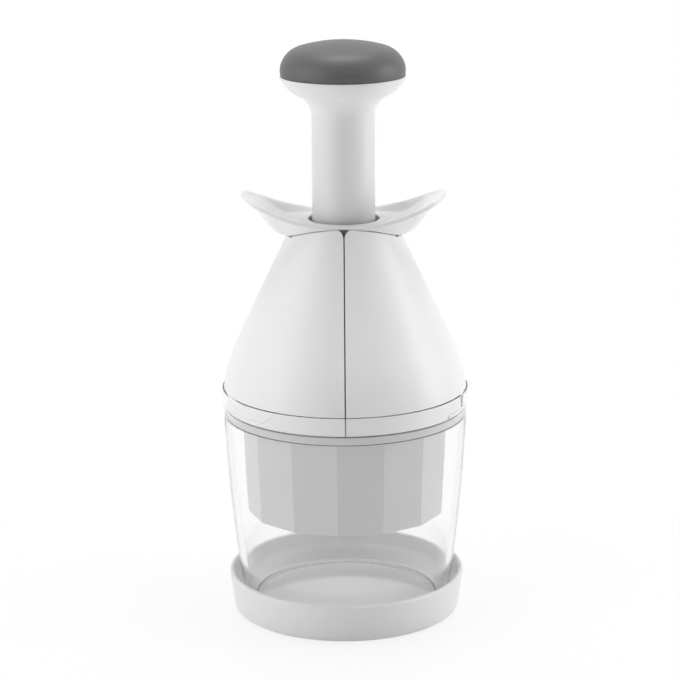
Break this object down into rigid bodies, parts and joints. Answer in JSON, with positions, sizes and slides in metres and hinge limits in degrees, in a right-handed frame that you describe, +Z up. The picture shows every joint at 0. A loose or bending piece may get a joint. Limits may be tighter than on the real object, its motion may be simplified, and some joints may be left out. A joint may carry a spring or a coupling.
{
  "type": "plunger food chopper",
  "caption": "Hand chopper: a clear cup in a base dish, a bell-shaped two-shell housing with a winged finger collar, and a sprung plunger that drives a turning zigzag blade.",
  "frame": {"origin": "centre of the underside of the anti-slip ring, where the object stands, on the plunger's axis", "axes": "+Z up along the plunger's axis, +X to the right seen from the front, and the front with the visible seam towards -Y"},
  "size_m": [0.106, 0.106, 0.2491],
  "materials": {
    "dish_white": "satin moulded plastic",
    "ring_rubber": "matte rubber",
    "cup_clear": "clear moulded plastic",
    "shell_white": "satin moulded plastic",
    "frame_white": "moulded plastic",
    "fastener_steel": "plain steel",
    "bearing_plastic": "natural bearing plastic",
    "guard_white": "moulded plastic",
    "spring_steel": "spring wire",
    "stem_white": "satin moulded plastic",
    "grip_grey": "soft matte rubber",
    "spindle_steel": "twisted steel strip",
    "carrier_white": "moulded plastic",
    "blade_steel": "bent steel strip",
    "wiper_white": "moulded plastic",
    "collar_white": "satin moulded plastic"
  },
  "bodies": {
    "base": {"base_dish": "dish_white", "anti_slip_ring": "ring_rubber"},
    "cup": {"cup": "cup_clear"},
    "housing": {"left_shell": "shell_white", "right_shell": "shell_white", "inner_frame": "frame_white", "hinge_pins": "fastener_steel", "guide_bush": "bearing_plastic", "blade_guard": "guard_white", "spindle_nut": "bearing_plastic", "spring_seat": "frame_white", "seat_screws": "fastener_steel", "collar": "collar_white"},
    "plunger": {"plunger_stem": "stem_white", "stop_ring": "frame_white", "knob_core": "stem_white", "knob_grip": "grip_grey", "return_spring": "spring_steel"},
    "rotor": {"spindle": "spindle_steel", "thrust_washer": "fastener_steel", "spindle_screw": "fastener_steel", "blade_carrier": "carrier_white", "carrier_pin": "fastener_steel", "zigzag_blade": "blade_steel"},
    "wiper": {"wiper_disc": "wiper_white"}
  },
  "joints": [
    {"name": "cup_lift", "type": "slide", "parent": "base", "child": "cup", "axis": [0, 0, 1], "range_m": [0, 0.06]},
    {"name": "housing_lift", "type": "slide", "parent": "cup", "child": "housing", "axis": [0, 0, 1], "range_m": [0, 0.12]},
    {"name": "plunger_press", "type": "slide", "parent": "housing", "child": "plunger", "axis": [0, 0, -1], "range_m": [0, 0.042], "stiffness_N_per_m": 600, "springref_m": -0.017, "deforming": ["return_spring"]},
    {"name": "blade_turn", "type": "hinge", "parent": "plunger", "child": "rotor", "pos_m": [0, 0, 0.1], "axis": [0, 0, 1], "range_deg": [0, 36.1]},
    {"name": "wiper_turn", "type": "hinge", "parent": "housing", "child": "wiper", "pos_m": [0, 0, 0.048], "axis": [0, 0, 1], "range_deg": [0, 36.1]}
  ],
  "couplings": [
    {"joint": "blade_turn", "follows": "plunger_press", "rad_per_m": 14.96},
    {"joint": "wiper_turn", "follows": "plunger_press", "rad_per_m": 14.96}
  ]
}
